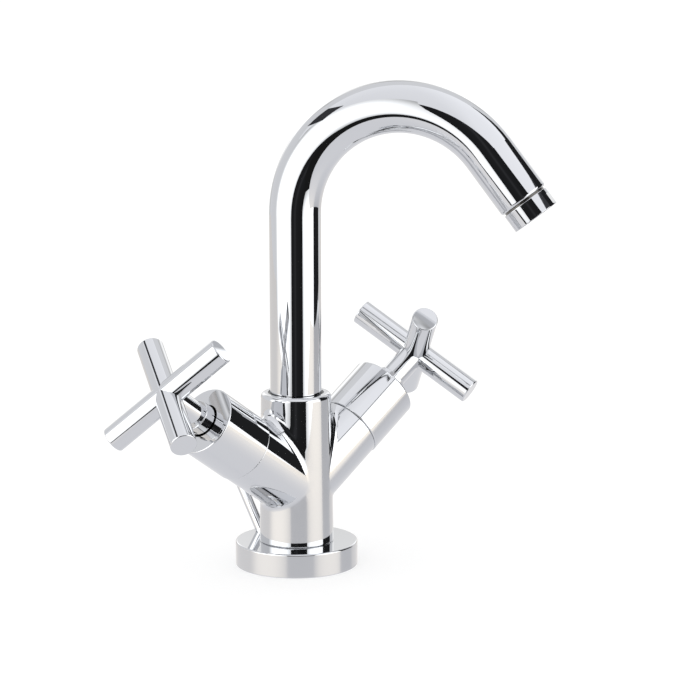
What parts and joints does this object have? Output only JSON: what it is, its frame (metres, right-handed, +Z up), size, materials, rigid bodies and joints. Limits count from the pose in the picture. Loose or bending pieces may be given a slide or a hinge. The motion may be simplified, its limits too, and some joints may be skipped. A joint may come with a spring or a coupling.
{
  "type": "bathroom mixer faucet",
  "caption": "Two-handle basin mixer on a round base flange: tapered pillar with inclined valve arms and cross handles, swivel gooseneck spout with aerator, leaning pop-up lift rod.",
  "frame": {"origin": "on the pillar's axis, in the plane of the deck that the base stands on", "axes": "+Z up along the pillar, -Y towards the basin, -X the hot side and +X the cold side; at rest the spout is swung 32.5 degrees from the front towards the cold side"},
  "size_m": [0.2026, 0.1686, 0.2394],
  "materials": {
    "chrome_plate": "polished nickel-chromium plate on brass",
    "brass": "turned brass, unplated",
    "rubber": "moulded nitrile or EPDM rubber",
    "acetal_white": "moulded acetal",
    "acetal_black": "moulded black acetal",
    "fibre": "vulcanised fibre washer",
    "ceramic": "lapped alumina",
    "steel": "stainless steel"
  },
  "bodies": {
    "pillar": {"base_flange": "chrome_plate", "base_gasket": "rubber", "base_o_ring": "rubber", "mixer_body": "chrome_plate", "spout_lock_screw": "steel", "spout_slip_ring": "acetal_black", "spout_thrust_washer": "acetal_white", "lift_rod_bush": "acetal_white", "hot_valve_cover": "chrome_plate", "hot_valve_body": "brass", "hot_valve_washer": "fibre", "hot_valve_seat_seal": "rubber", "hot_valve_fixed_disc": "ceramic", "cold_valve_cover": "chrome_plate", "cold_valve_body": "brass", "cold_valve_washer": "fibre", "cold_valve_seat_seal": "rubber", "cold_valve_fixed_disc": "ceramic"},
    "spout": {"spout_tube": "chrome_plate", "spout_ferrule": "brass", "spout_o_ring_lower": "rubber", "spout_o_ring_upper": "rubber", "outlet_nipple": "brass", "aerator_housing": "chrome_plate", "aerator_washer": "rubber", "aerator_insert": "acetal_white", "aerator_screen": "steel"},
    "hot_control": {"hot_handle": "chrome_plate", "hot_handle_bush": "acetal_white", "hot_handle_screw": "steel", "hot_spindle": "brass", "hot_spindle_o_rings": "rubber", "hot_spindle_clip": "steel", "hot_valve_moving_disc": "ceramic"},
    "cold_control": {"cold_handle": "chrome_plate", "cold_handle_bush": "acetal_white", "cold_handle_screw": "steel", "cold_spindle": "brass", "cold_spindle_o_rings": "rubber", "cold_spindle_clip": "steel", "cold_valve_moving_disc": "ceramic"},
    "lift": {"lift_rod": "chrome_plate", "lift_knob": "chrome_plate"}
  },
  "joints": [
    {"name": "spout_swivel", "type": "hinge", "parent": "pillar", "child": "spout", "pos_m": [0, 0, 0.0699], "axis": [0, 0, 1], "continuous": true},
    {"name": "hot_turn", "type": "hinge", "parent": "pillar", "child": "hot_control", "pos_m": [-0.08036, 0, 0.09547], "axis": [-0.8192, 0, 0.5736], "range_deg": [0, 90]},
    {"name": "cold_turn", "type": "hinge", "parent": "pillar", "child": "cold_control", "pos_m": [0.08036, 0, 0.09547], "axis": [0.8192, 0, 0.5736], "range_deg": [-90, 0]},
    {"name": "lift_slide", "type": "slide", "parent": "pillar", "child": "lift", "axis": [-0.0663, 0.5107, 0.8572], "range_m": [-0.028, 0]}
  ]
}
